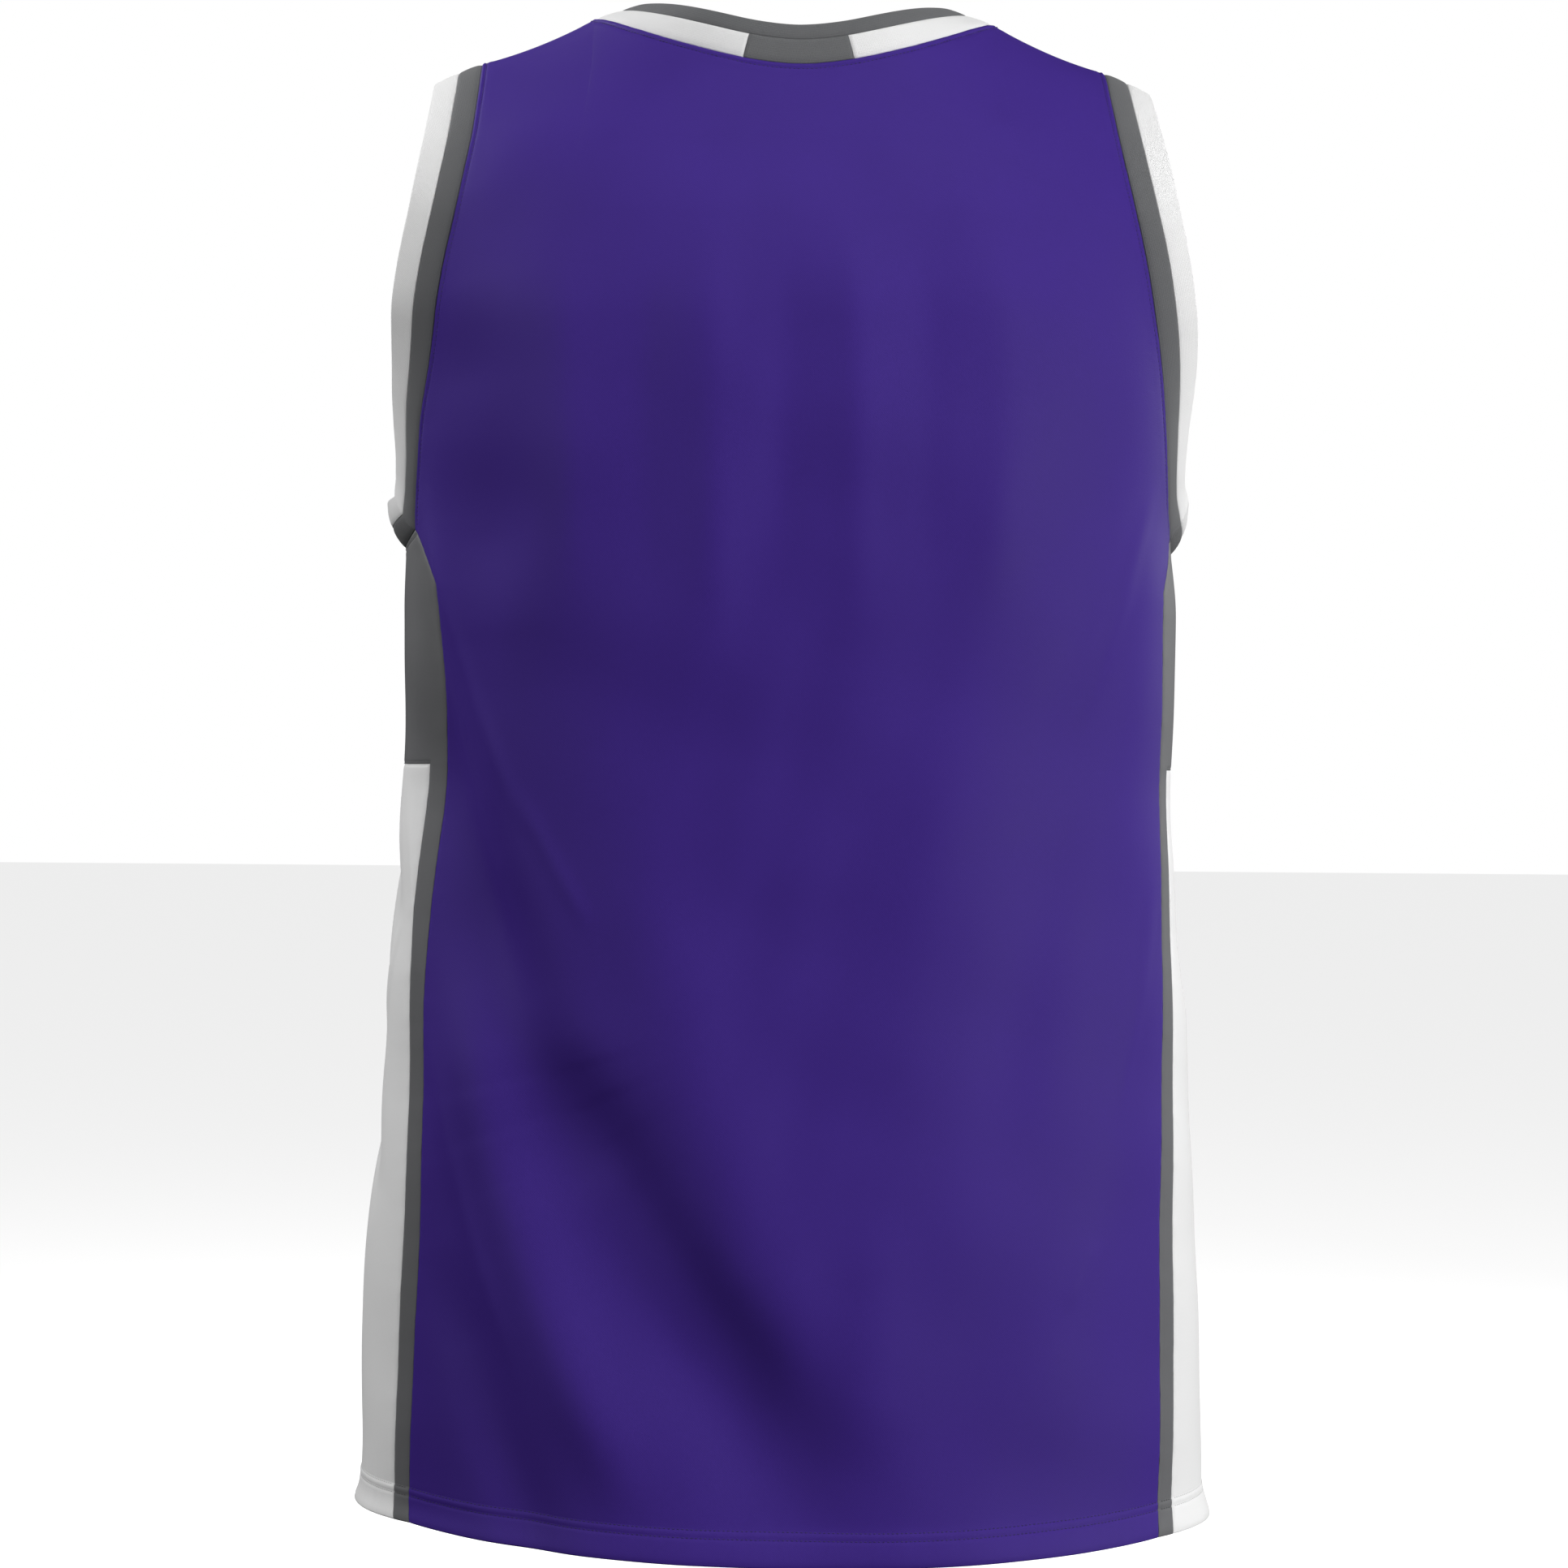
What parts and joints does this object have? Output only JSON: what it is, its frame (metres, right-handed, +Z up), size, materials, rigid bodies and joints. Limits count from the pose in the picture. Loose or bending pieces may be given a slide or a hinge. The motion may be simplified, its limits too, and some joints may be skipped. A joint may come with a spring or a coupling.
{
  "type": "basketball jersey",
  "caption": "Sleeveless basketball jersey, filled out as if worn, with side panels, a ribbed neck and ribbed armholes.",
  "frame": {"origin": "midway between the two shoulder straps, level with their middles, where the wearer's shoulders hold the garment up", "axes": "+X towards the wearer's right, +Y the way the wearer faces, so the back panel faces -Y, +Z up"},
  "size_m": [0.4292, 0.2787, 0.7562],
  "materials": {
    "purple_body": "smooth polyester knit, semi-matt",
    "grey_side": "smooth polyester knit, semi-matt",
    "white_side": "smooth polyester knit, semi-matt",
    "grey_rib": "fine rib knit, matt",
    "white_rib": "fine rib knit, matt"
  },
  "bodies": {
    "root": {"back_panel": "purple_body", "front_panel": "purple_body", "side_panel_left": "grey_side", "side_panel_right": "grey_side", "side_inset_left": "white_side", "side_inset_right": "white_side", "neck_rib": "white_rib", "neck_block": "grey_rib", "neck_edge": "grey_rib", "armhole_rib_left": "grey_rib", "armhole_rib_right": "grey_rib", "armhole_edge_left": "white_rib", "armhole_edge_right": "white_rib"}
  },
  "joints": []
}
